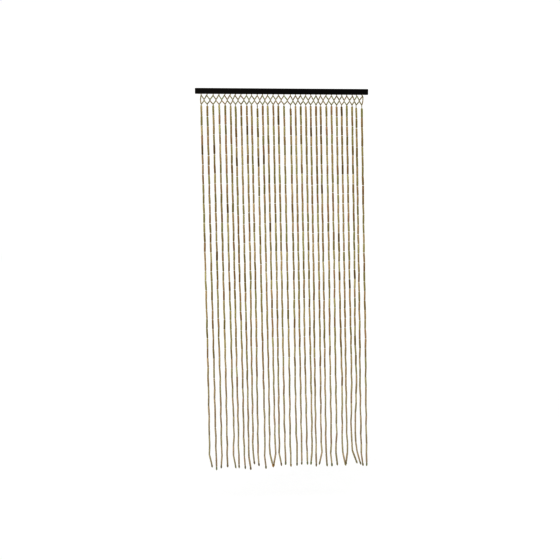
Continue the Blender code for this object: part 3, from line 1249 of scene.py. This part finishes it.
@dataclass
class Net:
    """The row of diamonds between the rail and the strands."""

    columns: list[float]
    leans: list[float]
    rail_underside: float
    plane_y: float
    threading: Threading
    stringing: Stringing
    apex_drop: float = 0.0084
    crossing_drop: float = 0.0323
    root_drop: float = 0.0546
    unevenness: float = 0.0009
    crossing_scatter: float = 1.6
    hole_depth: float = 0.0080
    edge_bow: float = 0.0036
    edge_roundness: float = 0.7
    edge_shares: tuple[float, ...] = (0.0, 0.06, 0.45, 0.55, 0.94, 1.0)
    edge_shades: tuple[tuple[float, float], ...] = ((0.45, -0.6), (0.55, 0.4))
    edge_bead: float = 0.8
    edge_bead_tone: float = 0.5
    cane_radius: float = 0.0025
    knot_clearance: float = 0.0024
    bead_clearance: float = 0.0012
    clearance_spread: float = 0.0004
    overlap: float = 0.0009
    bead_radius: float = 0.0031
    bead_length: float = 0.0085
    bead_mouth: float = 0.0012
    string_radius: float = 0.0010
    pair_spread: float = 0.0013
    knot_radius: float = 0.0029
    upper_knot_drop: float = 0.0030
    upper_knot_radius: float = 0.0024
    cane_variation: Variation = Variation(0.06, 0.0003, 7)
    bead_variation: Variation = Variation(0.08, 0.0003, 9)
    seed: int = 21

    def _at(self, x: float, drop: float) -> Vector:
        """A point in the net's plane, at a drop below the rail."""
        return Vector((x, self.plane_y, self.rail_underside - drop))

    def crossings(self) -> list[Vector]:
        """The middle of each crossing bead."""
        chance = random.Random(self.seed + 3)
        middles = []
        halfway = [x + lean / 2 for x, lean in zip(self.columns, self.leans)]
        for left, right in zip(halfway, halfway[1:]):
            x = (left + right) / 2 + chance.uniform(-1.0, 1.0) * self.unevenness
            rise = self.crossing_scatter * chance.uniform(-1.0, 1.0) * self.unevenness
            middles.append(self._at(x, self.crossing_drop + rise))
        return middles

    def knots(self) -> list[tuple[Vector, Vector]]:
        """Each column's upper and lower knot."""
        chance = random.Random(self.seed + 4)
        pairs = []
        for x, lean in zip(self.columns, self.leans):
            up, down = (chance.uniform(-1.0, 1.0) * self.unevenness for _ in range(2))
            pairs.append((self._at(x + lean, self.apex_drop + up), self._at(x, self.root_drop + down)))
        return pairs

    def slants(self) -> list[tuple[Vector, Vector]]:
        """Each slanting string's two ends. The two that leave a knot do so one in front of the other."""
        lines = []
        knots = self.knots()
        for index, middle in enumerate(self.crossings()):
            for side, pair in ((-1.0, knots[index]), (1.0, knots[index + 1])):
                for knot, way in zip(pair, (1.0, -1.0)):
                    start = knot + Vector((0.0, side * way * self.overlap, 0.0))
                    mouth = middle + Vector((side * self.bead_mouth, 0.0, way * self.bead_length / 2))
                    lines.append((start, mouth))
        return lines

    def canes(self) -> list[Piece]:
        """The thin tubes on the slanting strings."""
        chance = random.Random(self.seed)
        pieces = []
        for knot, mouth in self.slants():
            along = (mouth - knot).normalized()
            spread = self.clearance_spread
            start = knot + along * (self.knot_clearance + chance.uniform(-spread, spread))
            end = mouth - along * (self.bead_clearance + chance.uniform(-spread, spread))
            pieces.append(Piece(start, end, self.cane_radius, chance.random(), chance.uniform(-1.0, 1.0)))
        return pieces + self._edge_canes()

    def edges(self) -> list[list[Vector]]:
        """The bowed lines down the net's two outer sides."""
        lines = []
        knots = self.knots()
        for (apex, root), outwards in ((knots[0], -1.0), (knots[-1], 1.0)):
            line = []
            for share in self.edge_shares:
                bow = outwards * self.edge_bow * math.sin(math.pi * share) ** self.edge_roundness
                line.append(apex.lerp(root, share) + Vector((bow, 0.0, 0.0)))
            lines.append(line)
        return lines

    def _edge_canes(self) -> list[Piece]:
        """The thin tubes on the two outer sides, two to a side."""
        pieces = []
        for line in self.edges():
            for (top, foot), shade in zip(((line[1], line[2]), (line[3], line[4])), self.edge_shades):
                pieces.append(Piece(top, foot, self.cane_radius, *shade))
        return pieces

    def beads(self) -> list[Piece]:
        """The crossing beads, and the small one on each outer side."""
        chance = random.Random(self.seed + 1)
        rise = Vector((0.0, 0.0, self.bead_length / 2))
        pieces = []
        for middle in self.crossings():
            pieces.append(Piece(middle - rise, middle + rise, self.bead_radius, chance.random()))
        radius = self.edge_bead * self.bead_radius
        return pieces + [Piece(line[2], line[3], radius, self.edge_bead_tone) for line in self.edges()]

    def strings(self) -> list[list[Vector]]:
        """Pairs into the rail's holes, slants, strings through the beads, both sides and the knots."""
        chance = random.Random(self.seed + 2)
        lines = [[knot, mouth] for knot, mouth in self.slants()] + self.edges()
        rise = Vector((0.0, 0.0, self.bead_length / 2))
        lines += [[at - rise, at + rise] for at in self.crossings()]
        for x, (apex, root) in zip(self.columns, self.knots()):
            turn = chance.uniform(0.0, math.pi)
            mouth = self._at(x, self.upper_knot_drop)
            lines += twisted_pair(self._at(x, -self.hole_depth), mouth, self.pair_spread, turn)
            lines += twisted_pair(mouth, apex, self.pair_spread, turn)
            for centre in (apex, root):
                lines.append(overhand_knot(centre, self.knot_radius, self.string_radius, turn))
            lines.append(overhand_knot(mouth, self.upper_knot_radius, self.string_radius, -turn))
        return lines

    def build(self, cane: bpy.types.Material, bead: bpy.types.Material,
              string: bpy.types.Material) -> list[bpy.types.Object]:
        """Builds the net's pieces.

        Args:
            cane: The thin tubes' finish.
            bead: The crossing beads' finish.
            string: The string's finish.

        Returns:
            The thin tubes, the beads and the strings.
        """
        return [
            self.threading.make("net_canes", TUBE, self.canes(), cane, self.cane_variation),
            self.threading.make("net_beads", BEAD, self.beads(), bead, self.bead_variation),
            self.stringing.make("net_strings", self.strings(), self.string_radius, string),
        ]


# Stage


class Sun(NamedTuple):
    """One broad, even light.

    It shines from a heading round the curtain, 0 being straight from the viewer and 90 from the right, and
    from a height above the horizon. Its share is what it adds to a white surface.
    """

    name: str
    heading: float
    height: float
    share: float
    softness: float


@dataclass(frozen=True)
class Stage:
    """The floor, the light and the camera. Angles are in degrees."""

    floor_z: float = -2.15
    floor_reach: float = 60.0
    suns: tuple[Sun, ...] = (
        Sun("Key", -38.0, 24.0, 0.46, 22.0),
        Sun("Fill", 42.0, 14.0, 0.16, 40.0),
        Sun("Rear", 158.0, 22.0, 0.34, 30.0),
        Sun("Overhead", 0.0, 80.0, 0.66, 50.0),
    )
    ambient: float = 0.30
    backdrop: float = 1.01
    camera_place: tuple[float, float, float] = (-0.152, -4.096, -0.785)
    camera_turn: float = 1.994
    camera_tilt: float = -2.769
    camera_lens: float = 50.0
    camera_sensor: float = 36.0
    camera_clip: Range = (0.05, 200.0)
    print_gamma: float = 0.6

    def build(self) -> None:
        """Sets up everything that isn't the object."""
        self._floor()
        self._world()
        for sun in self.suns:
            self._sun(sun)
        self._camera()
        view = bpy.context.scene.view_settings
        view.view_transform = "Standard"
        view.gamma = self.print_gamma

    def _floor(self) -> None:
        """The plain pale floor."""
        reach = self.floor_reach
        mesh = bpy.data.meshes.new("floor")
        corners = [(-reach, -reach), (reach, -reach), (reach, reach), (-reach, reach)]
        mesh.from_pydata([(x, y, self.floor_z) for x, y in corners], [], [(0, 1, 2, 3)])
        mesh.materials.append(StagePaint().material())
        floor = bpy.data.objects.new("floor", mesh)
        bpy.context.scene.collection.objects.link(floor)
        floor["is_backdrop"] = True

    def _world(self) -> None:
        """Even white light from all round, and white behind the object."""
        world = bpy.data.worlds.new("Studio")
        world.use_nodes = True
        tree = Tree(world.node_tree)
        world.node_tree.nodes.clear()
        seen = tree.add("ShaderNodeLightPath", output="Is Camera Ray")
        strength = self.ambient + (self.backdrop - self.ambient) * seen
        light = tree.add("ShaderNodeBackground", {}, {"Color": WHITE, "Strength": strength})
        output = world.node_tree.nodes.new("ShaderNodeOutputWorld")
        tree.link(output.inputs["Surface"], light)
        bpy.context.scene.world = world

    @staticmethod
    def _sun(sun: Sun) -> None:
        """Adds one of the broad lights.

        Args:
            sun: Which one.
        """
        lamp = bpy.data.lights.new(sun.name, "SUN")
        lamp.energy = sun.share * math.pi
        lamp.angle = math.radians(sun.softness)
        thing = bpy.data.objects.new(sun.name, lamp)
        heading, height = math.radians(sun.heading), math.radians(sun.height)
        level = math.cos(height)
        source = Vector((level * math.sin(heading), -level * math.cos(heading), math.sin(height)))
        thing.rotation_euler = source.to_track_quat("Z", "Y").to_euler()
        bpy.context.scene.collection.objects.link(thing)

    def _camera(self) -> None:
        """The photograph's viewpoint: a little left of the middle, turned right and tilted down."""
        camera = bpy.data.cameras.new("Camera")
        camera.lens = self.camera_lens
        camera.sensor_width = self.camera_sensor
        camera.clip_start, camera.clip_end = self.camera_clip
        thing = bpy.data.objects.new("Camera", camera)
        thing.location = self.camera_place
        tilt, turn = math.radians(90.0 + self.camera_tilt), -math.radians(self.camera_turn)
        thing.rotation_euler = Euler((tilt, 0.0, turn))
        bpy.context.scene.collection.objects.link(thing)
        bpy.context.scene.camera = thing


def corners() -> list[list[float]]:
    """The shown object's lowest and highest corner."""
    low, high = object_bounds()
    return [list(low), list(high)]


def dress(pieces: list[bpy.types.Object]) -> None:
    """Lets pieces ride with the curtain and stand for its CAD solid.

    Args:
        pieces: The finished pieces.
    """
    for piece in pieces:
        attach(piece, BODY)
        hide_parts("net_and_strands")
        LOG.info("%s: %d faces", piece.name, len(piece.data.polygons))


def main() -> None:
    """Builds the curtain's looks and the studio round it."""
    logging.basicConfig(level=logging.INFO, format="%(message)s")
    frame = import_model()
    rail_low, rail_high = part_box("rail")
    plane_y = (rail_low.y + rail_high.y) / 2
    rail = frame["nodes"]["rail"]
    rail.material_slots[0].material = BlackPaint().material()
    LOG.info("rail: %d faces", len(rail.data.polygons))
    threading = Threading()
    stringing = Stringing()
    columns = [strand.root * MILLIMETRE for strand in STRANDS]
    leans = [lean * MILLIMETRE for lean in NET_LEANS]
    net = Net(columns, leans, rail_low.z, plane_y, threading, stringing)
    root_z = rail_low.z - ROOT_DROP
    paths = [StrandPath(row, strand, root_z, plane_y) for row, strand in enumerate(STRANDS)]
    string = CottonString().material()
    strands = Strands(paths, threading, stringing)
    dress(strands.build(TUBE_SKIN.material(), END_BEAD_SKIN.material(), string))
    dress(net.build(NET_SKIN.material(), NET_BEAD_SKIN.material(), string))
    Stage().build()


if __name__ == "__main__":
    main()
